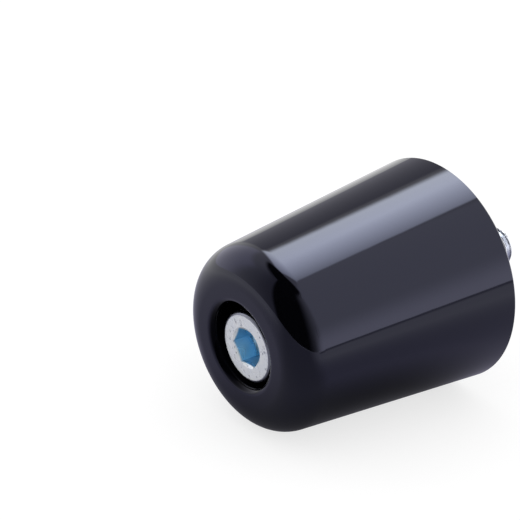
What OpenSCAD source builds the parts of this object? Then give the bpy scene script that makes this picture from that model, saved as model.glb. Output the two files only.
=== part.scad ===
// Bar end weight: a turned steel weight that closes the end of a handlebar, with the socket cap screw
// that holds it. The screw lies loose in the weight's hole, as the photograph shows it.
// Millimetres. The weight's axis is Y: the nose faces -Y, the bar is on the +Y side, Z is up.
// The origin is the centre of the flat rear face, which seats on the bar's end.

/* [Weight] */
// Diameter of the rear rim, where the weight meets the bar grip
rear_d = 32; // [28:0.5:45]
// Diameter the taper would reach at the nose without its rounded shoulder
nose_d = 25.6; // [22:0.1:34]
// Length from the rear seat to the nose face
body_len = 35; // [30:0.2:60]
// Radius of the shoulder between the taper and the nose face
shoulder_r = 4.8; // [2:0.1:6]
// Edge break round the rear rim
rim_break = 0.3; // [0.1:0.1:1]

/* [Screw] */
// Diameter over the screw's threads and shank, M6
screw_d = 6; // [5:1:6]
// Length of the screw that stands out behind the rear seat: 40 mm under the head, for the sizes given here
screw_out = 12.2; // [8:0.2:25]
// Diameter of the socket head
head_d = 10; // [8.5:0.5:10]
// Height of the socket head
head_h = 6; // [5:0.5:6]
// Rounding of the head's top edge
head_round = 0.5; // [0.2:0.1:0.8]
// Rounding under the head, where it meets the shank
fillet_r = 0.25; // [0.1:0.05:0.3]
// Width across the flats of the hex socket
hex_af = 5; // [4:0.5:5]
// Depth of the hex socket's straight walls
hex_depth = 3; // [2:0.1:3.2]
// Depth of the chamfer at the socket's mouth
hex_chamfer = 0.25; // [0.1:0.05:0.4]
// Distance from the rear seat to the start of the thread
thread_gap = 0.8; // [0.4:0.1:3]
// Diameter of the run-out neck between the shank and the thread, the thread's pitch diameter
neck_d = 5.35; // [4.4:0.05:5.4]
// Length of the run-out neck
neck_len = 1; // [0.8:0.1:2]
// Length of the chamfer at the thread's end
tip_chamfer = 0.7; // [0.4:0.1:1]

/* [Fit of the screw] */
// Difference in diameter between the counterbore and the screw head
head_play = 1.9; // [1.4:0.1:4]
// Difference in diameter between the clearance hole and the screw
shank_play = 1.2; // [0.6:0.1:1.4]
// Depth of the screw head's top below the nose face
head_recess = 1.2; // [0.6:0.1:3]
// Gap kept where the shank lies on the bottom of the hole
rest_gap = 0.02; // [0.01:0.01:0.05]
// Gap kept between the head and the counterbore's floor
floor_gap = 0.05; // [0.02:0.01:0.1]
// Rounding of the counterbore's mouth
mouth_r = 1; // [0.2:0.1:1.2]
// Chamfer at both ends of the clearance hole
hole_chamfer = 0.5; // [0.3:0.1:1]

/* [View] */
// Node to build, or all of them

/* [Hidden] */
paint_black = [0.03, 0.03, 0.035];
zinc_white = [0.78, 0.80, 0.83];
eps = 0.01;
$fn = 144;

// the taper's half angle, and the shoulder arc that touches both the taper and the nose face
taper = atan((rear_d - nose_d) / 2 / body_len);
arc_z = body_len - shoulder_r;
arc_r = rear_d / 2 - arc_z * tan(taper) - shoulder_r / cos(taper);
arc_steps = 18;

// the hole and its counterbore follow the screw
pocket_d = head_d + head_play;
hole_d = screw_d + shank_play;
pocket_depth = head_recess + head_h + floor_gap;
pocket_floor = body_len - pocket_depth;

// the screw lies on the bottom of the hole, parallel to the weight's axis
screw_drop = (hole_d - screw_d) / 2 - rest_gap;
head_seat = pocket_floor + floor_gap;
screw_end = -screw_out;
thread_start = -thread_gap;
hex_corner_r = hex_af / 2 / cos(30);
hex_turn = 5.8;
drill_r = hex_af / 2 * 0.97;
drill_depth = drill_r * tan(30);
mouth_cone_h = (hex_corner_r + 2 * eps) * hex_chamfer / (hex_corner_r - hex_af / 2);
neck_slope = (screw_d - neck_d) / 2;
thread_core_r = 2.45;

assert(arc_r > pocket_d / 2 + mouth_r, "the nose face needs a flat ring round the counterbore");
assert(thread_start - 2 > screw_end + tip_chamfer, "the screw's end must leave room for its thread");
assert(hex_corner_r + 0.3 < head_d / 2 - head_round, "the socket must leave a flat ring on the head");
assert(hex_depth + drill_depth < head_h - 0.5, "the socket must leave a floor in the head");
assert(fillet_r < hole_chamfer + floor_gap, "the radius under the head must clear the hole's mouth");
assert(head_play / 2 > screw_drop + rest_gap, "the dropped head must clear the counterbore's wall");
assert(pocket_d > hole_d + 1, "the counterbore needs a floor for the head");

// turned about local Z with the seat at z = 0 and the nose up, then laid along the part's axis
module along_axis() {
    rotate([90, 0, 0]) children();
}

// half section of the weight's outside: seat, edge break, taper, shoulder, nose face
module weight_profile() {
    shoulder = [
        for (i = [0 : arc_steps])
            let (a = taper + (90 - taper) * i / arc_steps)
            [arc_r + shoulder_r * cos(a), arc_z + shoulder_r * sin(a)]
    ];
    polygon(concat(
        [[0, 0], [rear_d / 2 - rim_break, 0], [rear_d / 2 - rim_break * tan(taper), rim_break]],
        shoulder,
        [[0, body_len]]
    ));
}

// counterbore with its rounded mouth
module pocket_cut() {
    translate([0, 0, pocket_floor])
        cylinder(d = pocket_d, h = pocket_depth + eps);
    translate([0, 0, body_len - mouth_r])
        rotate_extrude()
            difference() {
                translate([pocket_d / 2 - eps, 0])
                    square([mouth_r + eps, mouth_r + eps]);
                translate([pocket_d / 2 + mouth_r, 0])
                    circle(r = mouth_r, $fn = 48);
            }
}

// through hole for the shank, with a chamfer at each end
module hole_cut() {
    mouth_d = hole_d + 2 * hole_chamfer + 2 * eps;
    translate([0, 0, -eps])
        cylinder(d = hole_d, h = body_len);
    translate([0, 0, -eps])
        cylinder(d1 = mouth_d, d2 = hole_d, h = hole_chamfer + eps);
    translate([0, 0, pocket_floor - hole_chamfer])
        cylinder(d1 = hole_d, d2 = mouth_d, h = hole_chamfer + eps);
}

module weight_body() {
    color(paint_black)
        along_axis()
            difference() {
                rotate_extrude()
                    weight_profile();
                pocket_cut();
                hole_cut();
            }
}

// half section of the screw without its two small radii: tip, thread, run-out neck, shank, head
module screw_steps() {
    shank_end = thread_start + neck_len;
    head_top = head_seat + head_h;
    polygon([
        [0, screw_end],
        [thread_core_r, screw_end],
        [screw_d / 2, screw_end + tip_chamfer],
        [screw_d / 2, thread_start],
        [neck_d / 2, thread_start + neck_slope],
        [neck_d / 2, shank_end - neck_slope],
        [screw_d / 2, shank_end],
        [screw_d / 2, head_seat],
        [head_d / 2, head_seat],
        [head_d / 2, head_top - head_round],
        [head_d / 2 - head_round, head_top - head_round],
        [head_d / 2 - head_round, head_top],
        [0, head_top]
    ]);
}

// rounding of the head's top edge
module head_edge() {
    translate([head_d / 2 - head_round, head_seat + head_h - head_round])
        intersection() {
            circle(r = head_round, $fn = 48);
            square(2 * head_round);
        }
}

// radius between the shank and the underside of the head
module head_fillet() {
    translate([screw_d / 2, head_seat - fillet_r])
        difference() {
            square(fillet_r);
            translate([fillet_r, 0])
                circle(r = fillet_r, $fn = 48);
        }
}

// hex socket with a drilled cone at its floor and a small chamfer round its mouth
module socket_cut() {
    top = head_seat + head_h;
    rotate([0, 0, hex_turn])
        translate([0, 0, top - hex_depth])
            cylinder(r = hex_corner_r, h = hex_depth + eps, $fn = 6);
    translate([0, 0, top - hex_depth - drill_depth])
        cylinder(r1 = 0, r2 = drill_r, h = drill_depth + eps);
    translate([0, 0, top + eps - mouth_cone_h])
        cylinder(r1 = 0, r2 = hex_corner_r + 2 * eps, h = mouth_cone_h);
}

module cap_screw() {
    color(zinc_white)
        translate([0, 0, -screw_drop])
            along_axis()
                difference() {
                    rotate_extrude() {
                        screw_steps();
                        head_edge();
                        head_fillet();
                    }
                    socket_cut();
                }
}

weight_body();
cap_screw();
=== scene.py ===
# %% [markdown]
# # Bar end weight
# A bar end weight closes the end of a motorbike's handlebar and damps its buzz. It is one turned lump
# of steel, painted gloss black, with a socket cap screw through it. This lesson dresses the two CAD
# solids for a picture: the paint, the zinc plate, the screw's thread, and a small studio round them.
# All lengths are in metres, in the part's own frame: the nose faces -Y, the handlebar is on the +Y
# side, and the origin is the centre of the flat rear face. A few driving sizes are named here, and
# every other place is worked out from them.

from math import atan, cos, degrees, pi, radians, tan

import bpy
import numpy as np
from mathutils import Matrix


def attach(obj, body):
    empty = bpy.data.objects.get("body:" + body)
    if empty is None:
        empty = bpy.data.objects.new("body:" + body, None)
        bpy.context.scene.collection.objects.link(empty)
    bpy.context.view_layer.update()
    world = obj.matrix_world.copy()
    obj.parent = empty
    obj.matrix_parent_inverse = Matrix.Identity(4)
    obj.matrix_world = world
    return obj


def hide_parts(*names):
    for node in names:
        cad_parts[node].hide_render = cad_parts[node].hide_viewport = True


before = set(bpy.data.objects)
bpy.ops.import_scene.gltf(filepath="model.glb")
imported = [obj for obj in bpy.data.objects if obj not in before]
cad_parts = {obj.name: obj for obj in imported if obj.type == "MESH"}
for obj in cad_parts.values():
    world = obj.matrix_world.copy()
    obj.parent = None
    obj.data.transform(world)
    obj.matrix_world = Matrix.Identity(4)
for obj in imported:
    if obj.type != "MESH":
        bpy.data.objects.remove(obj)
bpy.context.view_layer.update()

MM = 0.001
REAR_R = 16.0 * MM
NOSE_R = 12.8 * MM
BODY_LEN = 35.0 * MM
SHOULDER_R = 4.8 * MM
RIM_BREAK = 0.3 * MM
POCKET_R = 5.95 * MM
POCKET_DEPTH = 7.25 * MM
MOUTH_R = 1.0 * MM
HOLE_R = 3.6 * MM
HOLE_CHAMFER = 0.5 * MM
TAPER = atan((REAR_R - NOSE_R) / BODY_LEN)
print("taper, degrees a side:", round(degrees(TAPER), 2))

# %% [markdown]
# ## Camera
# The picture's camera stands to the right of the nose and above it. It could be aimed by a Track To
# constraint at an empty object, but a bearing and a height angle say the same in two plain numbers.
# The camera is held level, so those two rotations are enough. The long lens keeps perspective from
# stretching the taper.

# %% Camera
CAMERA_PLACE = (210.448 * MM, -199.038 * MM, 158.246 * MM)
CAMERA_BEARING = radians(51.474)
CAMERA_HEIGHT_ANGLE = radians(28.558)
LENS_MM = 163.41
SENSOR_MM = 36.0
camera_lens = bpy.data.cameras.new("camera")
camera_lens.sensor_width = SENSOR_MM
camera_lens.lens = LENS_MM
camera = bpy.data.objects.new("camera", camera_lens)
camera.location = CAMERA_PLACE
camera.rotation_euler = (pi / 2 - CAMERA_HEIGHT_ANGLE, 0.0, CAMERA_BEARING)
bpy.context.scene.collection.objects.link(camera)
bpy.context.scene.camera = camera
print("field of view, degrees:", round(degrees(2 * atan(SENSOR_MM / 2 / LENS_MM)), 2))

# %% [markdown]
# ## Turned surfaces
# Everything here came off a lathe, so every shape is a half section carried round the Y axis. The
# section is a row of (radius, y) pairs, and the whole grid of points is worked out at once: one row
# for each point of the section, one column for each angle. A Screw modifier or a subdivided cylinder
# could do it too. The modifier can't change the radius with the angle, as the screw will need, and
# the subdivided cylinder pulls in at the crisp edges. A grid keeps each edge where the lathe left it.


# %% Points along a section
def straight(start, stop, steps):
    """Evenly spaced points of a line: start and stop are mixed in shares from 0 to 1."""
    share = np.linspace(0.0, 1.0, steps)[:, None]
    return np.array(start) * (1 - share) + np.array(stop) * share


def round_edge(centre_r, centre_y, radius, start, stop, steps):
    """Points of a circle: its centre plus the radius times the cosine and sine of each angle."""
    turn = np.radians(np.linspace(start, stop, steps))
    return np.stack([centre_r + radius * np.cos(turn), centre_y + radius * np.sin(turn)], axis=1)


quarter = round_edge(0.0, 0.0, 1.0, 0.0, -90.0, 4)
print("a quarter circle in 4 points, radius and y:", np.round(quarter, 2).tolist())


# %% Section to mesh
def turned_mesh(name, radius, height, angles, centre_z=0.0, closed=False):
    """Point (i, j) is at x = radius * cos(angle j), y = height and z = radius * sin(angle j) +
    centre_z, where radius and height belong to row i and may also change with j. The section runs
    along the outside from the rear to the nose. An end row with no radius becomes one point."""
    shape = (len(radius), len(angles))
    radius = np.broadcast_to(radius if np.ndim(radius) == 2 else radius[:, None], shape)
    height = np.broadcast_to(height if np.ndim(height) == 2 else height[:, None], shape)
    x = radius * np.cos(angles)
    z = radius * np.sin(angles) + centre_z
    points = np.stack([x, height, z], axis=-1).reshape(-1, 3)
    number = np.arange(len(points)).reshape(shape)
    number = np.where(radius < 1e-9, number[:, :1], number)
    if closed:
        number = np.vstack([number, number[:1]])
    here = number[:-1]
    after = number[1:]
    corners = np.stack([here, np.roll(here, -1, 1), np.roll(after, -1, 1), after], axis=-1)
    used, corners = np.unique(corners.reshape(-1), return_inverse=True)
    corners = corners.reshape(-1, 4)
    start_pole = corners[:, 0] == corners[:, 1]
    end_pole = corners[:, 2] == corners[:, 3]
    quads = corners[~start_pole & ~end_pole].tolist()
    fans = corners[start_pole][:, [0, 2, 3]].tolist() + corners[end_pole][:, :3].tolist()
    mesh = bpy.data.meshes.new(name)
    mesh.from_pydata(points[used].tolist(), [], quads + fans)
    mesh.shade_smooth()
    piece = bpy.data.objects.new(name, mesh)
    bpy.context.scene.collection.objects.link(piece)
    return piece


WEIGHT_COLUMNS = 256
flat_gap = REAR_R * (1 - cos(pi / WEIGHT_COLUMNS))
print("the widest rim's flats lie inside a true circle by, mm:", round(flat_gap / MM, 4))

# %% [markdown]
# ## The weight
# The weight is what the bike needs: a lump of steel, heavy for its size. Its section is one closed
# loop: up the taper, round the big shoulder, across the flat nose face, over the counterbore's small
# rounded mouth, down its wall and across its floor, through the clearance hole and out across the
# flat rear face. A bevelled cone with a hole cut by a Boolean would look alike from afar, but the
# shoulder has to touch both the taper and the nose face, so that a reflection runs over it without a
# kink. Here the circle's centre is worked out so that it does. Only edges of more than 28 degrees are
# marked sharp.

# %% Weight section
FACE_Y = -BODY_LEN
FLOOR_Y = POCKET_DEPTH - BODY_LEN
arc_y = SHOULDER_R - BODY_LEN
arc_r = REAR_R + arc_y * tan(TAPER) - SHOULDER_R / cos(TAPER)
shoulder = round_edge(arc_r, arc_y, SHOULDER_R, -degrees(TAPER), -90.0, 49)
mouth = round_edge(POCKET_R + MOUTH_R, FACE_Y + MOUTH_R, MOUTH_R, -90.0, -180.0, 19)
weight_section = np.vstack(
    [
        [(REAR_R - RIM_BREAK, 0.0)],
        straight((REAR_R - RIM_BREAK * tan(TAPER), -RIM_BREAK), shoulder[0], 12)[:-1],
        shoulder,
        straight(shoulder[-1], mouth[0], 4)[1:-1],
        mouth,
        straight(mouth[-1], (POCKET_R, FLOOR_Y), 6)[1:],
        [(HOLE_R + HOLE_CHAMFER, FLOOR_Y)],
        straight((HOLE_R, FLOOR_Y + HOLE_CHAMFER), (HOLE_R, -HOLE_CHAMFER), 8),
        straight((HOLE_R + HOLE_CHAMFER, 0.0), (REAR_R - RIM_BREAK, 0.0), 4)[:-1],
    ]
)
print("section points:", len(weight_section))
print("flat ring on the nose, mm wide:", round(float(shoulder[-1][0] - mouth[0][0]) / MM, 2))

# %% Weight mesh
CRISP_ANGLE = 28
around = np.linspace(0.0, 2 * pi, WEIGHT_COLUMNS, endpoint=False)
weight_skin = turned_mesh("weight_skin", weight_section[:, 0], weight_section[:, 1], around, closed=True)
weight_skin.data.set_sharp_from_angle(angle=radians(CRISP_ANGLE))
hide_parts("weight_body")
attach(weight_skin, "root")
print("weight faces:", len(weight_skin.data.polygons))


# %% Weight volume
def vertex_places(mesh):
    """The mesh's points as rows of x, y, z."""
    place = np.empty(len(mesh.vertices) * 3)
    mesh.vertices.foreach_get("co", place)
    return place.reshape(-1, 3)


def volume(piece):
    """Signed volume: a sixth of each triangle's triple product, summed. Outward faces give a plus."""
    mesh = piece.data
    mesh.calc_loop_triangles()
    corner = np.empty(len(mesh.loop_triangles) * 3, dtype=np.int32)
    mesh.loop_triangles.foreach_get("vertices", corner)
    tri = vertex_places(mesh)[corner].reshape(-1, 3, 3)
    return float(np.sum(tri[:, 0] * np.cross(tri[:, 1], tri[:, 2])) / 6)


print("weight volume, cm3:", round(volume(weight_skin) * 1e6, 3))

# %% [markdown]
# ## The cap screw
# The screw is a socket head cap screw, M6, that pulls the weight against the bar. Here it lies loose
# on the bottom of the clearance hole, so its axis is a little below the weight's. Its section runs
# from the tip to the head and down into the socket. Two things on it are not round: the thread and
# the hex socket. They could be a swept triangle and a Boolean cut, which leave ragged joins. Both
# still have one radius at each angle, so one grid makes the whole screw with no joins at all. The
# hexagon's corners fall exactly on six of the grid's columns, which keeps them crisp.

# %% Screw sizes
SCREW_R = 3.0 * MM
TIP_Y = 12.2 * MM
TIP_R = 2.45 * MM
TIP_LEN = 0.7 * MM
NECK_R = 2.675 * MM
NECK_LEN = 1.0 * MM
NECK_SLOPE = SCREW_R - NECK_R
HEAD_R = 5.0 * MM
HEAD_H = 6.0 * MM
HEAD_ROUND = 0.5 * MM
HEAD_GAP = 0.05 * MM
FILLET_R = 0.25 * MM
SCREW_DROP = 0.58 * MM
SEAT_Y = FLOOR_Y - HEAD_GAP
TOP_Y = SEAT_Y - HEAD_H
print("head's top below the nose face, mm:", round((TOP_Y - FACE_Y) / MM, 2))

# %% Hexagon
SCREW_COLUMNS = 144
HEX_HALF = 2.5 * MM
HEX_DEPTH = 3.0 * MM
HEX_CHAMFER = 0.25 * MM
HEX_TURN = radians(5.8)
HEX_CORNER = HEX_HALF / cos(pi / 6)
screw_around = HEX_TURN + np.linspace(0.0, 2 * pi, SCREW_COLUMNS, endpoint=False)


def hexagon_radius(half_width, angle):
    """Distance to a hexagon's side: half its width over the cosine of the angle to that side."""
    from_side = np.mod(angle - HEX_TURN, pi / 3) - pi / 6
    return half_width / np.cos(from_side)


hex_r = hexagon_radius(HEX_HALF, screw_around)
print("hexagon across flats, mm:", round(float(2 * hex_r.min()) / MM, 3))
print("hexagon across corners, mm:", round(float(2 * hex_r.max()) / MM, 3))

# %% Thread
PITCH = 1.0 * MM
ROOT_R = 2.4 * MM
THREAD_START = 0.8 * MM
THREAD_ROWS = 184
CREST_FLAT = 0.12
ROOT_FLAT = 0.16


def thread_radius(y, angle):
    """Right-hand thread: the radius swings between root and crest once each pitch, with straight
    flanks and narrow flats, which are shares of the pitch. The swing moves one pitch towards +Y in
    one turn from +Z to +X. It grows over the first pitch, and a cone cuts it at the tip."""
    turn = np.arctan2(np.cos(angle), np.sin(angle)) / (2 * pi)
    phase = np.mod(y[:, None] / PITCH - turn[None, :], 1.0)
    from_crest = 2 * np.abs(phase - 0.5)
    swing = np.clip((1 - ROOT_FLAT - from_crest) / (1 - ROOT_FLAT - CREST_FLAT), 0.0, 1.0)
    grown = np.clip((y[:, None] - THREAD_START) / PITCH, 0.0, 1.0)
    root = ROOT_R * grown + NECK_R * (1 - grown)
    cone = TIP_R + (TIP_Y - y[:, None]) * (SCREW_R - TIP_R) / TIP_LEN
    return np.minimum(root + (SCREW_R - root) * swing * grown, cone)


thread_y = np.linspace(TIP_Y, THREAD_START, THREAD_ROWS)
thread_r = thread_radius(thread_y, screw_around)
print("thread radius, mm:", round(float(thread_r.min()) / MM, 3), "to", round(float(thread_r.max()) / MM, 3))

# %% Neck, shank and head
SOCKET_LIP = 0.02 * MM
NECK_STEP = 0.1 * MM
plain_rows = np.vstack(
    [
        straight((NECK_R, THREAD_START - NECK_STEP), (NECK_R, THREAD_START - NECK_LEN + NECK_SLOPE), 3),
        straight((SCREW_R, THREAD_START - NECK_LEN), (SCREW_R, SEAT_Y + FILLET_R), 6),
        round_edge(SCREW_R + FILLET_R, SEAT_Y + FILLET_R, FILLET_R, 180.0, 270.0, 7)[1:],
        straight((HEAD_R, SEAT_Y), (HEAD_R, TOP_Y + HEAD_ROUND), 6),
        round_edge(HEAD_R - HEAD_ROUND, TOP_Y + HEAD_ROUND, HEAD_ROUND, 0.0, -90.0, 13)[1:],
        straight((HEAD_R - HEAD_ROUND, TOP_Y), (HEX_CORNER + SOCKET_LIP, TOP_Y), 5)[1:],
    ]
)
print("rows from the neck to the socket's lip:", len(plain_rows))

# %% Socket
DRILL_R = 0.97 * HEX_HALF
DRILL_DEPTH = DRILL_R * tan(pi / 6)
level = np.ones_like(screw_around)
chamfer_slope = HEX_CHAMFER / (HEX_CORNER - HEX_HALF)
chamfer_y = TOP_Y + (HEX_CORNER + SOCKET_LIP - hex_r) * chamfer_slope
socket_r = [hex_r, hex_r, hex_r, DRILL_R * level, 0.5 * DRILL_R * level, 0 * level]
socket_y = [
    chamfer_y,
    (TOP_Y + 0.5 * HEX_DEPTH) * level,
    (TOP_Y + HEX_DEPTH) * level,
    (TOP_Y + HEX_DEPTH) * level,
    (TOP_Y + HEX_DEPTH + 0.5 * DRILL_DEPTH) * level,
    (TOP_Y + HEX_DEPTH + DRILL_DEPTH) * level,
]
print("socket's depth to the drill's point, mm:", round((HEX_DEPTH + DRILL_DEPTH) / MM, 2))

# %% Screw mesh
screw_r = np.vstack([0 * level, thread_r, plain_rows[:, :1] * level, socket_r])
screw_y = np.vstack([TIP_Y * level, thread_y[:, None] * level, plain_rows[:, 1:] * level, socket_y])
screw_skin = turned_mesh("screw_skin", screw_r, screw_y, screw_around, centre_z=-SCREW_DROP)
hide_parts("cap_screw")
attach(screw_skin, "root")
print("screw volume, cm3:", round(volume(screw_skin) * 1e6, 3), "faces:", len(screw_skin.data.polygons))

# %% [markdown]
# ## Crisp edges on the screw
# The head and the socket have crisp edges, while on the thread the grid's rows cut the sloping ridges
# into small steps that a real thread doesn't have. One angle for the whole screw would either show
# those steps or blur the head. So two angles are tried on the whole mesh, and each edge keeps the
# mark that suits its place.

# %% Screw edges
THREAD_CRISP_ANGLE = 50


def mark_screw_edges(piece):
    """Edges over 28 degrees are sharp on the plain part, and over 50 degrees on the thread."""
    mesh = piece.data
    ends = np.empty(len(mesh.edges) * 2, dtype=np.int32)
    mesh.edges.foreach_get("vertices", ends)
    end_y = vertex_places(mesh)[ends].reshape(-1, 2, 3)[:, :, 1]
    on_thread = end_y.min(axis=1) > THREAD_START
    marks = []
    for angle in (CRISP_ANGLE, THREAD_CRISP_ANGLE):
        mesh.set_sharp_from_angle(angle=radians(angle))
        mark = np.empty(len(mesh.edges), dtype=bool)
        mesh.attributes["sharp_edge"].data.foreach_get("value", mark)
        marks.append(mark)
    sharp = np.where(on_thread, marks[1], marks[0])
    mesh.attributes["sharp_edge"].data.foreach_set("value", sharp)
    return int(sharp.sum())


print("sharp edges on the screw:", mark_screw_edges(screw_skin))

# %% [markdown]
# ## Materials by nodes
# A finish could be painted on a picture and wrapped round the piece, which needs an unwrap and shows
# its pixels close up. Here every finish is worked out from the place on the piece, read in its own
# coordinates, so it is sharp at any distance. A small helper adds a node, sets its inputs and joins
# it to others, which keeps each recipe short enough to read.


# %% Node helpers
def add_node(tree, kind, inputs=None, **settings):
    """New node of a kind. An input that is a socket is linked, and any other value is set."""
    new = tree.nodes.new(kind)
    for key, value in settings.items():
        setattr(new, key, value)
    for key, value in (inputs or {}).items():
        if isinstance(value, bpy.types.NodeSocket):
            tree.links.new(value, new.inputs[key])
        else:
            new.inputs[key].default_value = value
    return new


def new_material(name):
    """Empty material: its node tree and its output."""
    material = bpy.data.materials.new(name)
    material.use_nodes = True
    tree = material.node_tree
    tree.nodes.clear()
    output = tree.nodes.new("ShaderNodeOutputMaterial")
    return material, tree, output


print("materials before the finishes are made:", len(bpy.data.materials))


# %% Pattern helpers
def noise(tree, place, scale, detail=2.0, roughness=0.5):
    """Cloudy value about 0.5: scale is in waves per metre."""
    sockets = {"Vector": place, "Scale": scale, "Detail": detail, "Roughness": roughness}
    return add_node(tree, "ShaderNodeTexNoise", sockets).outputs[0]


def spread(tree, value, low, high, to_low=0.0, to_high=1.0, smooth=False):
    """Moves a value from one range to another, and holds it at the ends."""
    kind = "SMOOTHSTEP" if smooth else "LINEAR"
    sockets = {0: value, 1: low, 2: high, 3: to_low, 4: to_high}
    return add_node(tree, "ShaderNodeMapRange", sockets, interpolation_type=kind).outputs[0]


def combine(tree, kind, first, second):
    """One step of arithmetic on two values."""
    return add_node(tree, "ShaderNodeMath", {0: first, 1: second}, operation=kind).outputs[0]


def times(tree, first, second):
    """Product of two values. Of two masks it is the place where both hold."""
    return combine(tree, "MULTIPLY", first, second)


def blend_colour(tree, share, first, second):
    """First colour where share is 0, second where it is 1."""
    mix = add_node(tree, "ShaderNodeMix", {0: share}, data_type="RGBA")
    for socket, colour in ((mix.inputs[6], first), (mix.inputs[7], second)):
        if isinstance(colour, bpy.types.NodeSocket):
            tree.links.new(colour, socket)
        else:
            socket.default_value = (*colour, 1.0)
    return mix.outputs[2]


def inside_round(tree, split, centre_z, outer, inner):
    """1 within the inner distance of a line along Y, 0 beyond the outer one. Distance is the root of
    x squared plus (z minus the line's height) squared."""
    high = combine(tree, "SUBTRACT", split.outputs[2], centre_z)
    sideways = times(tree, split.outputs[0], split.outputs[0])
    upright = times(tree, high, high)
    across = combine(tree, "SQRT", combine(tree, "ADD", sideways, upright), 0.0)
    return spread(tree, across, outer, inner)


helpers = (noise, spread, combine, times, blend_colour, inside_round)
print("pattern helpers:", [helper.__name__ for helper in helpers])

# %% [markdown]
# ## Gloss black paint
# The real finish is a thin dipped coat over turned steel: almost black, with a mirror gloss. What
# gives it away as paint is a faint orange peel, waves of two or three millimetres that make straight
# reflections wander a little. It could be a dark metal under a clear coat, but one plain coat reads
# the same and exports well. The waves are a bump of a few thousandths of a millimetre. Colour would
# hardly show on so dark a coat, so the recipe works mainly through gloss. A specular tint gives the
# reflections their violet-blue cast and leaves grazing ones white. Down in the counterbore the tint
# drops almost to black over the rounded mouth: that is painted shade, which takes the reflections out
# of the recess.

# %% Paint values
PAINT_DEEP = (0.0006, 0.0007, 0.0012)
PAINT_PALE = (0.0013, 0.0013, 0.0022)
PAINT_GLOSS = (0.035, 0.06)
VIOLET_SHINE = (0.68, 0.69, 1.0)
# Specular tint in the counterbore: painted shade that takes the reflections out of the recess.
BORE_PAINTED_SHADE = (0.06, 0.06, 0.09)
# Where the counterbore's painted shade begins and becomes full, across and along the axis.
BORE_SHADE_FROM = POCKET_R + 0.75 * MOUTH_R
BORE_SHADE_BY = POCKET_R + 0.35 * MOUTH_R
BORE_SHADE_START_Y = FLOOR_Y + 2.0 * MM
BORE_SHADE_FULL_Y = FLOOR_Y + 1.0 * MM
PEEL_WAVES = 420.0
PEEL_HEIGHT = 0.004 * MM
print("orange peel, mm from wave to wave:", round(1 / PEEL_WAVES / MM, 2))


# %% Paint
def gloss_black():
    """Near-black coat: cloudy colour, slightly uneven gloss, orange-peel bump, and painted shade in
    the counterbore.
    """
    material, tree, output = new_material("gloss_black_paint")
    place = add_node(tree, "ShaderNodeTexCoord").outputs["Object"]
    colour = blend_colour(tree, noise(tree, place, 140.0, 3.0), PAINT_DEEP, PAINT_PALE)
    gloss = spread(tree, noise(tree, place, 320.0, 4.0), 0.3, 0.7, *PAINT_GLOSS)
    split = add_node(tree, "ShaderNodeSeparateXYZ", {0: place})
    # Painted shade in the counterbore: there the specular tint drops almost to black.
    in_bore = inside_round(tree, split, 0.0, BORE_SHADE_FROM, BORE_SHADE_BY)
    in_front = spread(tree, split.outputs[1], BORE_SHADE_START_Y, BORE_SHADE_FULL_Y)
    tint_and_bore_shade = blend_colour(tree, times(tree, in_bore, in_front), VIOLET_SHINE, BORE_PAINTED_SHADE)
    peel = noise(tree, place, PEEL_WAVES, 1.0, 0.4)
    waves = {"Height": peel, "Strength": 1.0, "Distance": PEEL_HEIGHT}
    bump = add_node(tree, "ShaderNodeBump", waves).outputs[0]
    coat = add_node(
        tree,
        "ShaderNodeBsdfPrincipled",
        {"Base Color": colour, "Roughness": gloss, "IOR": 1.5, "Normal": bump, "Specular Tint": tint_and_bore_shade},
    )
    tree.links.new(coat.outputs[0], output.inputs[0])
    return material


weight_skin.data.materials.append(gloss_black())
print("paint nodes:", len(weight_skin.data.materials[0].node_tree.nodes))

# %% [markdown]
# ## Zinc plate
# Bright zinc plate is silvery with a cloudy, slightly pitted skin, because it is plated in a barrel
# with hundreds of other screws. The clear passivate that protects it gathers in the socket and dries
# there in a strong blue. The head's flat top has a pale, milky bloom, and its rounded edge and side
# are darker with painted shade, as they sit down in the counterbore. The shank and thread are plain
# silver. Separate materials for these places would need cuts in the mesh with hard borders, so one
# recipe finds each place by its distance from the screw's axis and its depth, and blends softly from
# one to the next.

# %% Zinc values
SILVER_DULL = (0.90, 0.94, 0.99)
SILVER_BRIGHT = (0.97, 0.99, 1.0)
PIT_DARK = (0.24, 0.26, 0.32)
# Painted shade for the head's rounded edge and side, down in the counterbore.
PAINTED_EDGE_SHADE = (0.26, 0.27, 0.31)
SHANK_SILVER = (0.70, 0.72, 0.78)
STAIN_DEEP = (0.44, 0.78, 0.98)
STAIN_PALE = (0.51, 0.82, 1.0)
ZINC_GLOSS = (0.24, 0.34)
PIT_SHARE = 0.8
MILKY = 0.78
SOCKET_METAL = 0.65
KNOCK_HEIGHT = 0.012 * MM
print("share of bare metal on the head's top and in the socket:",
      [round(share, 2) for share in (1 - MILKY, 1 - MILKY + SOCKET_METAL)])

# %% Places on the screw
TOP_EDGE_R = HEAD_R - HEAD_ROUND
STAIN_START_Y = TOP_Y + 0.12 * MM
STAIN_FULL_Y = TOP_Y + 0.45 * MM


def screw_places(tree, split):
    """Three masks: in the head, on its flat top, and in its socket. The head is in front of the seat,
    the top is in front too and inside the head's rounded edge, and the socket is near the axis and
    deeper than the top."""
    depth = split.outputs[1]
    in_head = spread(tree, depth, SEAT_Y, SEAT_Y - 0.5 * MM)
    inside_edge = inside_round(tree, split, -SCREW_DROP, TOP_EDGE_R + 0.12 * MM, TOP_EDGE_R)
    near_axis = inside_round(tree, split, -SCREW_DROP, HEX_CORNER + 0.2 * MM, HEX_CORNER + 0.1 * MM)
    below_top = spread(tree, depth, STAIN_START_Y, STAIN_FULL_Y)
    in_socket = times(tree, times(tree, near_axis, below_top), in_head)
    return in_head, times(tree, inside_edge, in_head), in_socket


print("stain starts below the head's top by, mm:", round((STAIN_START_Y - TOP_Y) / MM, 2))


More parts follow.
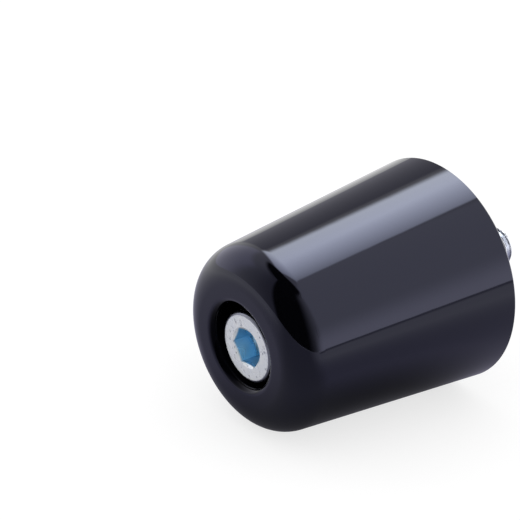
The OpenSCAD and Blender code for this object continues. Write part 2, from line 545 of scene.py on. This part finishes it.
# %% Zinc
def zinc_plate():
    """Bright metal: clouds and dark pits on the head's top, painted shade on its rounded edge and side,
    a blue stain in the socket, and knocks everywhere else. The share of bare metal is 1, less the
    milky bloom's share on the head's top, plus some in the socket."""
    material, tree, output = new_material("zinc_plate_bright")
    place = add_node(tree, "ShaderNodeTexCoord").outputs["Object"]
    split = add_node(tree, "ShaderNodeSeparateXYZ", {0: place})
    in_head, on_top, in_socket = screw_places(tree, split)
    cloud = spread(tree, noise(tree, place, 900.0, 4.0, 0.6), 0.35, 0.65)
    clean = blend_colour(tree, cloud, SILVER_DULL, SILVER_BRIGHT)
    pits = spread(tree, noise(tree, place, 1700.0, 3.0, 0.6), 0.59, 0.68, smooth=True)
    silver = blend_colour(tree, times(tree, pits, PIT_SHARE), clean, PIT_DARK)
    # Painted shade: the head's rounded edge and side are darkened, as they sit in the counterbore's shade.
    head = blend_colour(tree, on_top, PAINTED_EDGE_SHADE, silver)
    plated = blend_colour(tree, in_head, SHANK_SILVER, head)
    wash = spread(tree, noise(tree, place, 500.0, 0.0), 0.35, 0.65)
    stain = blend_colour(tree, wash, STAIN_DEEP, STAIN_PALE)
    colour = blend_colour(tree, in_socket, plated, stain)
    gloss = spread(tree, noise(tree, place, 700.0, 0.0), 0.3, 0.7, *ZINC_GLOSS)
    milky = times(tree, on_top, MILKY)
    clear = combine(tree, "ADD", times(tree, in_socket, SOCKET_METAL), 1.0)
    bare = combine(tree, "SUBTRACT", clear, milky)
    outside = combine(tree, "SUBTRACT", 1.0, in_socket)
    grain = times(tree, noise(tree, place, 3800.0, 3.0, 0.6), outside)
    knocks = {"Height": grain, "Strength": 0.6, "Distance": KNOCK_HEIGHT}
    bump = add_node(tree, "ShaderNodeBump", knocks).outputs[0]
    metal = add_node(
        tree,
        "ShaderNodeBsdfPrincipled",
        {"Base Color": colour, "Metallic": bare, "Roughness": gloss, "Normal": bump},
    )
    tree.links.new(metal.outputs[0], output.inputs[0])
    return material


screw_skin.data.materials.append(zinc_plate())
print("zinc nodes:", len(screw_skin.data.materials[0].node_tree.nodes))

# %% [markdown]
# ## Floor
# The weight lies on its tapered flank. In the part's own frame the axis is level, so the floor is the
# one that tilts: it leans by the taper and touches the flank along one line. It could be a plane that
# is turned as an object, but here the lean is in the height formula, which is easy to check. The
# floor is white card. To the eye and in reflections it gets a little white light of its own, so that
# it reads as clean white with the weight's soft shadow on it, while it lights the weight only as
# plain card would. It is clear from below, so a low view from the nose side isn't shut off by it.

# %% Floor sizes
FLOOR_WHITE = (0.36, 0.36, 0.36)
FLOOR_GLOW = 0.72
FLOOR_SIZE = 1.2
FLOOR_GAP = 0.02 * MM


def floor_height(y):
    """Height of the floor at y: the rear rim's radius and a small gap down, less y times the tangent
    of the taper."""
    return -REAR_R - y * tan(TAPER) - FLOOR_GAP


print("floor under the rear rim and the nose, mm:", [round(floor_height(y) / MM, 2) for y in (0.0, FACE_Y)])


# %% Floor
def seen_directly(tree):
    """1 for rays of sight, of reflection and through glass, and 0 for all others."""
    path = add_node(tree, "ShaderNodeLightPath").outputs
    pair = combine(tree, "MAXIMUM", path["Is Camera Ray"], path["Is Glossy Ray"])
    return combine(tree, "MAXIMUM", pair, path["Is Transmission Ray"])


def white_card():
    """Plain card with a glow for rays of sight and reflection, and clear where its back is seen."""
    material, tree, output = new_material("white_card")
    card = add_node(tree, "ShaderNodeBsdfDiffuse", {"Color": (*FLOOR_WHITE, 1.0)})
    glow = times(tree, seen_directly(tree), FLOOR_GLOW)
    light = add_node(tree, "ShaderNodeEmission", {"Strength": glow})
    both = add_node(tree, "ShaderNodeAddShader", {0: card.outputs[0], 1: light.outputs[0]})
    underside = add_node(tree, "ShaderNodeNewGeometry").outputs["Backfacing"]
    clear = add_node(tree, "ShaderNodeBsdfTransparent")
    one_sided = {0: underside, 1: both.outputs[0], 2: clear.outputs[0]}
    sheet = add_node(tree, "ShaderNodeMixShader", one_sided)
    tree.links.new(sheet.outputs[0], output.inputs[0])
    material.cycles.emission_sampling = "NONE"
    return material


def make_floor():
    """Square whose height falls with y by the tangent of the taper, just under the flank."""
    side = np.array([-0.5, 0.5]) * FLOOR_SIZE
    x, y = np.meshgrid(side, side)
    mesh = bpy.data.meshes.new("floor")
    corners = np.stack([x, y, floor_height(y)], axis=-1).reshape(-1, 3)
    mesh.from_pydata(corners.tolist(), [], [(0, 1, 3, 2)])
    floor = bpy.data.objects.new("floor", mesh)
    bpy.context.scene.collection.objects.link(floor)
    mesh.materials.append(white_card())
    return floor


floor = make_floor()
print("floor leans, degrees:", round(degrees(TAPER), 2))

# %% [markdown]
# ## Studio cards
# Gloss paint shows its surroundings, so the studio is part of the finish. Area lamps would be quick,
# but each would light the part and cast a shadow besides being mirrored. A card here shows in
# reflections only, so what the paint mirrors is set apart from how much light there is. A card's
# edges can fade, as a real card's do when it is out of focus in the gloss. The fades are shares of
# its width and height, in the order left, right, low, high.

# %% Card light
BRIGHTEST_AT = (0.49, 0.27)
DIMMEST = 0.15


def card_edges(tree, place, fades):
    """Product of four smooth ramps, one at each edge: 1 in the middle of the card and 0 at an edge
    that fades."""
    split = add_node(tree, "ShaderNodeSeparateXYZ", {0: place})
    across, up = split.outputs[0], split.outputs[1]
    left, right, low, high = fades
    edges = [
        spread(tree, across, 0.0, left, smooth=True) if left else 1.0,
        spread(tree, across, 1.0, 1.0 - right, smooth=True) if right else 1.0,
        spread(tree, up, 0.0, low, smooth=True) if low else 1.0,
        spread(tree, up, 1.0, 1.0 - high, smooth=True) if high else 1.0,
    ]
    return times(tree, times(tree, *edges[:2]), times(tree, *edges[2:]))


def card_light(name, strength, fades, tint, falloff):
    """Light of a given strength with fading edges. It dims evenly with the distance from the card's
    brightest place: 1 minus the distance times the falloff, but never below the dimmest share."""
    material, tree, output = new_material(name)
    place = add_node(tree, "ShaderNodeTexCoord").outputs["UV"]
    cover = card_edges(tree, place, fades)
    to_brightest = {0: place, 1: (*BRIGHTEST_AT, 0.0)}
    distance = add_node(tree, "ShaderNodeVectorMath", to_brightest, operation="DISTANCE").outputs["Value"]
    left_over = combine(tree, "SUBTRACT", 1.0, times(tree, distance, falloff))
    glow = times(tree, combine(tree, "MAXIMUM", left_over, DIMMEST), strength)
    light = add_node(tree, "ShaderNodeEmission", {"Color": (*tint, 1.0), "Strength": glow})
    clear = add_node(tree, "ShaderNodeBsdfTransparent")
    mix = add_node(tree, "ShaderNodeMixShader", {0: cover, 1: clear.outputs[0], 2: light.outputs[0]})
    tree.links.new(mix.outputs[0], output.inputs[0])
    return material


print("brightest place of a card that dims, across and up:", BRIGHTEST_AT)


# %% Card
def hang_card(name, points, strength, fades, tint, falloff=0.0):
    """Grid of points as a card, seen only in reflections. Point (i, j) gets the UV place j over the
    last column and i over the last row."""
    rows, columns = points.shape[:2]
    number = np.arange(rows * columns).reshape(rows, columns)
    corners = np.stack([number[:-1, :-1], number[:-1, 1:], number[1:, 1:], number[1:, :-1]], axis=-1)
    mesh = bpy.data.meshes.new(name)
    mesh.from_pydata(points.reshape(-1, 3).tolist(), [], corners.reshape(-1, 4).tolist())
    share = np.stack(np.meshgrid(np.linspace(0, 1, columns), np.linspace(0, 1, rows)), axis=-1)
    loops = np.empty(len(mesh.loops), dtype=np.int32)
    mesh.loops.foreach_get("vertex_index", loops)
    mesh.uv_layers.new(name="card").data.foreach_set("uv", share.reshape(-1, 2)[loops].ravel())
    mesh.materials.append(card_light(name, strength, fades, tint, falloff))
    card = bpy.data.objects.new(name, mesh)
    card.visible_camera = False
    card.visible_diffuse = False
    card.visible_shadow = False
    bpy.context.scene.collection.objects.link(card)
    return card


MIDDLE = np.array((0.0, -0.5 * BODY_LEN, 0.0))
print("cards hang round the point, mm:", (MIDDLE / MM).tolist())

# %% [markdown]
# ## Soft box
# A large flat soft box hangs behind the weight on the left and is mirrored as the broad pale stripe
# along the top of the flank. It could be a lit plane placed by hand, but the stripe's place and width
# hang on the box's edges, so its middle direction, its sideways and upward directions and its reach
# along each are named, and each can be moved alone. It is brightest low in its middle and dims from
# there, as the diffuser cloth over a single lamp does.

# %% Soft box
BOX_FACING = np.array((-0.599, 0.503, 0.624))
BOX_LEFT = np.array((-0.643, -0.766, 0.0))
BOX_UP = np.array((0.4777, -0.4010, 0.782))
BOX_ACROSS = (0.262, -0.61)
BOX_HEIGHTS = (0.02, 1.15)
BOX_STRENGTH = 8.1
BOX_FALLOFF = 0.88
BOX_TINT = (0.98, 1.04, 1.04)
BOX_FADES = (0.12, 0.06, 0.10, 0.12)


def make_soft_box():
    """Flat panel a metre away: the direction it faces from, plus a share of its left direction and a
    share of its up direction."""
    across, up = np.meshgrid(np.linspace(*BOX_ACROSS, 9), np.linspace(*BOX_HEIGHTS, 9))
    points = MIDDLE + BOX_FACING + across[..., None] * BOX_LEFT + up[..., None] * BOX_UP
    return hang_card("soft_box", points, BOX_STRENGTH, BOX_FADES, BOX_TINT, BOX_FALLOFF)


make_soft_box()
print("soft box, metres wide and high:",
      [round(abs(ends[1] - ends[0]), 2) for ends in (BOX_ACROSS, BOX_HEIGHTS)])

# %% [markdown]
# ## Walls and dark cards
# The room's white would turn the whole weight grey, so dark cards stand where black is wanted: over
# it, and in front on the camera's side, which gives the deep black between the shoulder and the
# flank. Pale walls at the left and the right give the nose and the flank their even grey, and dimmer
# ones behind lighten the far edges. The walls could be flat, but a patch of a sphere round the part
# keeps each edge where its bearing and height say, however near the card is. Bearing 0 is in front of
# the nose, and 90 is to its right.

# %% Curved card
COOL = (0.96, 0.95, 1.08)


def curved_card(name, bearings, heights, distance, strength, fades, tint=COOL):
    """Patch of a sphere about the part's middle: x = cos(height) * sin(bearing), y = -cos(height) *
    cos(bearing) and z = sin(height), times the distance. Both angles run evenly from edge to edge."""
    bearing, height = np.meshgrid(
        np.radians(np.linspace(*bearings, 25)), np.radians(np.linspace(*heights, 17))
    )
    direction = np.stack(
        [np.cos(height) * np.sin(bearing), -np.cos(height) * np.cos(bearing), np.sin(height)], axis=-1
    )
    return hang_card(name, MIDDLE + distance * direction, strength, fades, tint)


print("tint of a card unless another is given:", COOL)

# %% Dark cards
BLACK = 0.008
curved_card("dark_ceiling", (-100, 120), (60, 90), 1.3, BLACK, fades=(0.08, 0.08, 0.25, 0.0))
curved_card("dark_front", (-11, 108), (-1, 68), 1.25, BLACK, fades=(0.06, 0.41, 0.03, 0.0))
curved_card("dim_front", (-72, -5), (-1, 68), 1.27, 0.36, fades=(1.0, 0.0, 0.03, 0.0))

# %% Walls
NEUTRAL = (0.98, 0.99, 1.0)
FAINT_BLUE = (1.0, 1.0, 1.02)
curved_card("left_wall", (-112, -42), (-4, 50), 1.4, 1.4, fades=(0.10, 0.25, 0.05, 0.20))
curved_card("right_wall", (96, 172), (1, 74), 2.0, 1.4, fades=(0.20, 0.15, 0.02, 0.10), tint=NEUTRAL)
curved_card(
    "right_wall_low", (78, 165), (-0.5, 26), 0.32, 2.1, fades=(0.30, 0.20, 0.02, 0.85), tint=FAINT_BLUE
)
curved_card("back_left_wall", (-140, -114), (0, 40), 1.4, 0.50, fades=(0.20, 0.20, 0.02, 0.10))
curved_card("back_wall", (150, 225), (0, 50), 1.45, 0.55, fades=(0.25, 0.25, 0.02, 0.3))

# %% [markdown]
# ## Table edge and painted floor shade
# A thin dark line runs along the flank where the wall's reflection ends and the floor's begins. A
# narrow dim card stands in for the edge of the table that makes it. Below it the flank mirrors the
# floor, which would show as bright as it looks. In a real studio the table near the part is in the
# shade of the camera and the dark cards, so three grey sheets of painted shade lie on the floor, in
# reflections only. The smallest, under the part, is a painted contact shadow. They could be part of
# the floor's own recipe, but then the camera's view of the floor would have to be told apart. Each
# lies a hair above the last, because sheets at one height fight for the same place.


# %% Painted floor shade
def shade_sheet(name, bearings, radii, lift, strength, fades, tint=COOL):
    """Flat patch of painted shade on the floor: x = radius * sin(bearing) and y = middle - radius *
    cos(bearing), both running evenly from edge to edge, at the floor's height there plus the lift."""
    bearing, radius = np.meshgrid(np.radians(np.linspace(*bearings, 49)), np.linspace(*radii, 9))
    x = MIDDLE[0] + radius * np.sin(bearing)
    y = MIDDLE[1] - radius * np.cos(bearing)
    points = np.stack([x, y, floor_height(y) + lift], axis=-1)
    return hang_card(name, points, strength, fades, tint)


ALL_ROUND = (-180, 180)
VIOLET = (0.92, 0.9, 1.2)
LIFT = 0.005 * MM
curved_card("table_edge", (86, 126), (-2.4, 0.3), 0.30, 0.55, fades=(0.15, 0.15, 0.35, 0.3))
# Three sheets of painted shade on the floor, seen in reflections only; the one under the part is a painted
# contact shadow.
shade_sheet("near_shade", ALL_ROUND, (0.0, 0.14), LIFT, 0.46, fades=(0.0, 0.0, 0.0, 0.90), tint=VIOLET)
shade_sheet("front_shade", (-22, 88), (0.0, 0.58), 2 * LIFT, 0.40, fades=(0.25, 0.30, 0.0, 0.10))
shade_sheet("under_shadow", ALL_ROUND, (0.0, 0.032), 3 * LIFT, 0.10, fades=(0.0, 0.0, 0.0, 0.62))

# %% [markdown]
# ## World
# A white room surrounds everything and gives the plain soft light. Lamps could do that, but an even
# white world leaves no hard shadow and needs no placing. To the eye and in reflections its strength
# is 1, which is white. As light on the part it is a little lower, so that pale metal doesn't clip.

# %% World
WORLD_LIGHT = 0.95
world = bpy.data.worlds.new("white_room")
bpy.context.scene.world = world
world.use_nodes = True
room = world.node_tree
room.nodes.clear()
room_light = spread(room, seen_directly(room), 0.0, 1.0, WORLD_LIGHT, 1.0)
backdrop = add_node(room, "ShaderNodeBackground", {"Color": (1.0, 1.0, 1.0, 1.0), "Strength": room_light})
add_node(room, "ShaderNodeOutputWorld", {0: backdrop.outputs[0]})
world.cycles.sampling_method = "NONE"
bpy.context.scene.view_settings.view_transform = "Standard"
print("world light on the part:", WORLD_LIGHT)
